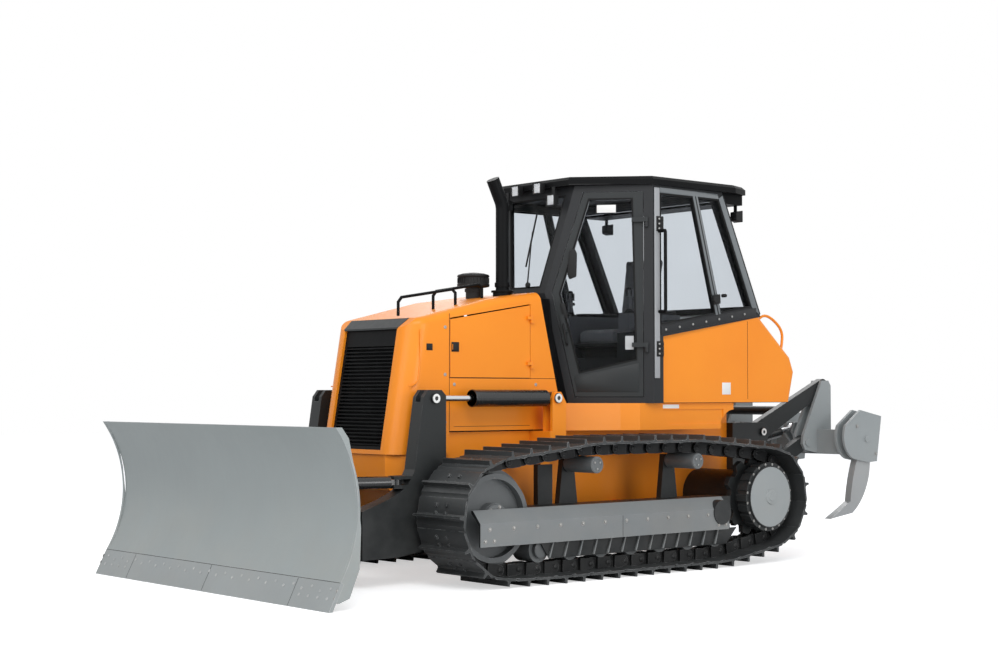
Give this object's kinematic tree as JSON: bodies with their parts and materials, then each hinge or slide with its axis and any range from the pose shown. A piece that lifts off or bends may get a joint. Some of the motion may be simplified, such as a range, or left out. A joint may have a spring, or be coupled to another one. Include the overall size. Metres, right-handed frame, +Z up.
{
  "type": "crawler bulldozer",
  "caption": "Crawler bulldozer with a hinged-door cab, a blade that lifts, angles and tilts on hydraulic cylinders, and a parallel-link ripper with curved shanks.",
  "frame": {"origin": "on the ground, at the middle of the overall length and width", "axes": "+Y to the machine's rear, +X to its left side, +Z up"},
  "size_m": [2.99, 6.28, 2.99],
  "materials": {
    "orange_paint": "satin",
    "black_paint": "satin",
    "cab_paint": "satin",
    "door_paint": "satin",
    "track_steel": "worn",
    "blade_paint": "satin",
    "cylinder_paint": "satin",
    "ripper_paint": "satin",
    "tinted_glass": "gloss",
    "undercarriage": "worn",
    "engine_iron": "as cast",
    "wear_steel": "worn",
    "rod_chrome": "polished",
    "trim_plastic": "moulded",
    "seat_fabric": "woven"
  },
  "bodies": {
    "chassis": {"cab_frame": "cab_paint", "cab_glass": "tinted_glass", "cab_roof": "black_paint", "carrier_rollers": "undercarriage", "console": "trim_plastic", "cowl": "black_paint", "engine_block": "engine_iron", "exhaust_stack": "black_paint", "fenders": "orange_paint", "final_drives": "undercarriage", "grab_handles": "black_paint", "grille": "black_paint", "hood": "orange_paint", "hood_rails": "black_paint", "idlers": "undercarriage", "main_frame": "orange_paint", "pre_cleaner": "black_paint", "rear_body": "orange_paint", "ripper_mount": "black_paint", "seat": "seat_fabric", "track_frames": "undercarriage", "track_left": "track_steel", "track_right": "track_steel", "track_rollers": "undercarriage", "work_lights": "trim_plastic"},
    "c_frame": {"c_frame": "black_paint"},
    "angle_yoke": {"angle_yoke": "black_paint"},
    "blade": {"moldboard": "blade_paint", "cutting_edge": "wear_steel"},
    "lift_barrels": {"lift_barrels": "cylinder_paint"},
    "lift_rods": {"lift_rods": "rod_chrome"},
    "angle_barrel_left": {"angle_barrel_left": "cylinder_paint"},
    "angle_barrel_right": {"angle_barrel_right": "cylinder_paint"},
    "angle_rod_left": {"angle_rod_left": "rod_chrome"},
    "angle_rod_right": {"angle_rod_right": "rod_chrome"},
    "tilt_barrel": {"tilt_barrel": "cylinder_paint"},
    "tilt_rod": {"tilt_rod": "rod_chrome"},
    "ripper_lower_link": {"ripper_lower_link": "black_paint"},
    "ripper_upper_link": {"ripper_upper_link": "black_paint"},
    "ripper_beam": {"ripper_beam": "ripper_paint", "ripper_shanks": "wear_steel"},
    "ripper_barrels": {"ripper_barrels": "cylinder_paint"},
    "ripper_rods": {"ripper_rods": "rod_chrome"},
    "door_left": {"door_left": "door_paint", "door_glass_left": "tinted_glass"},
    "door_right": {"door_right": "door_paint", "door_glass_right": "tinted_glass"},
    "engine_door_left": {"engine_door_left": "orange_paint"},
    "engine_door_right": {"engine_door_right": "orange_paint"}
  },
  "joints": [
    {"name": "blade_lift", "type": "hinge", "parent": "chassis", "child": "c_frame", "pos_m": [0, 0.3, 0.4], "axis": [-1, 0, 0], "range_deg": [-8, 15]},
    {"name": "lift_barrel_swing", "type": "hinge", "parent": "chassis", "child": "lift_barrels", "pos_m": [0, -0.52, 1.29], "axis": [-1, 0, 0], "range_deg": [-15, 28]},
    {"name": "lift_rod_slide", "type": "slide", "parent": "lift_barrels", "child": "lift_rods", "axis": [0, -1, 0], "range_m": [-0.21, 0.12]},
    {"name": "blade_angle", "type": "hinge", "parent": "c_frame", "child": "angle_yoke", "pos_m": [0, -2.52, 0.435], "axis": [0, 0, 1], "range_deg": [-20, 20]},
    {"name": "angle_barrel_swing_left", "type": "hinge", "parent": "c_frame", "child": "angle_barrel_left", "pos_m": [0.62, -1.97, 0.715], "axis": [0, 0, 1], "range_deg": [-3, 3]},
    {"name": "angle_rod_slide_left", "type": "slide", "parent": "angle_barrel_left", "child": "angle_rod_left", "axis": [-0.2459, -0.9693, 0], "range_m": [-0.17, 0.17]},
    {"name": "angle_barrel_swing_right", "type": "hinge", "parent": "c_frame", "child": "angle_barrel_right", "pos_m": [-0.62, -1.97, 0.715], "axis": [0, 0, 1], "range_deg": [-3, 3]},
    {"name": "angle_rod_slide_right", "type": "slide", "parent": "angle_barrel_right", "child": "angle_rod_right", "axis": [0.2459, -0.9693, 0], "range_m": [-0.17, 0.17]},
    {"name": "blade_tilt", "type": "hinge", "parent": "angle_yoke", "child": "blade", "pos_m": [0, -2.78, 0.435], "axis": [0, -1, 0], "range_deg": [-6, 6]},
    {"name": "tilt_barrel_swing", "type": "hinge", "parent": "angle_yoke", "child": "tilt_barrel", "pos_m": [-0.06, -2.687, 0.86], "axis": [0, -1, 0], "range_deg": [-6, 6]},
    {"name": "tilt_rod_slide", "type": "slide", "parent": "tilt_barrel", "child": "tilt_rod", "axis": [1, 0, 0], "range_m": [-0.05, 0.05]},
    {"name": "ripper_lift", "type": "hinge", "parent": "chassis", "child": "ripper_lower_link", "pos_m": [0, 1.72, 0.51], "axis": [1, 0, 0], "range_deg": [-46, 5]},
    {"name": "ripper_upper_swing", "type": "hinge", "parent": "chassis", "child": "ripper_upper_link", "pos_m": [0, 1.97, 1], "axis": [1, 0, 0], "range_deg": [-46, 5]},
    {"name": "ripper_beam_swing", "type": "hinge", "parent": "ripper_lower_link", "child": "ripper_beam", "pos_m": [0, 2.56, 0.9], "axis": [1, 0, 0], "range_deg": [-5, 46]},
    {"name": "ripper_barrel_swing", "type": "hinge", "parent": "chassis", "child": "ripper_barrels", "pos_m": [0, 1.87, 0.89], "axis": [1, 0, 0], "range_deg": [-50, 6]},
    {"name": "ripper_rod_slide", "type": "slide", "parent": "ripper_barrels", "child": "ripper_rods", "axis": [0, 0.9849, 0.173], "range_m": [-0.03, 0.22]},
    {"name": "cab_door_left", "type": "hinge", "parent": "chassis", "child": "door_left", "pos_m": [0.85311, 0.23916, 2.1], "axis": [0, 0, 1], "range_deg": [0, 95]},
    {"name": "cab_door_right", "type": "hinge", "parent": "chassis", "child": "door_right", "pos_m": [-0.85311, 0.23916, 2.1], "axis": [0, 0, -1], "range_deg": [0, 95]},
    {"name": "engine_door_left", "type": "hinge", "parent": "chassis", "child": "engine_door_left", "pos_m": [0.492, -0.614, 1.7], "axis": [0, 0, 1], "range_deg": [0, 80]},
    {"name": "engine_door_right", "type": "hinge", "parent": "chassis", "child": "engine_door_right", "pos_m": [-0.492, -0.614, 1.7], "axis": [0, 0, -1], "range_deg": [0, 80]}
  ],
  "couplings": [
    {"joint": "lift_barrel_swing", "follows": "blade_lift", "ratio": 1.8},
    {"joint": "lift_rod_slide", "follows": "blade_lift", "m_per_rad": -0.78},
    {"joint": "angle_barrel_swing_left", "follows": "blade_angle", "ratio": 0.03},
    {"joint": "angle_rod_slide_left", "follows": "blade_angle", "m_per_rad": -0.455},
    {"joint": "angle_barrel_swing_right", "follows": "blade_angle", "ratio": 0.03},
    {"joint": "angle_rod_slide_right", "follows": "blade_angle", "m_per_rad": 0.455},
    {"joint": "tilt_barrel_swing", "follows": "blade_tilt", "ratio": 0.905},
    {"joint": "tilt_rod_slide", "follows": "blade_tilt", "m_per_rad": -0.425},
    {"joint": "ripper_upper_swing", "follows": "ripper_lift", "ratio": 1},
    {"joint": "ripper_beam_swing", "follows": "ripper_lift", "ratio": -1},
    {"joint": "ripper_barrel_swing", "follows": "ripper_lift", "ratio": 1.065},
    {"joint": "ripper_rod_slide", "follows": "ripper_lift", "m_per_rad": -0.266}
  ]
}
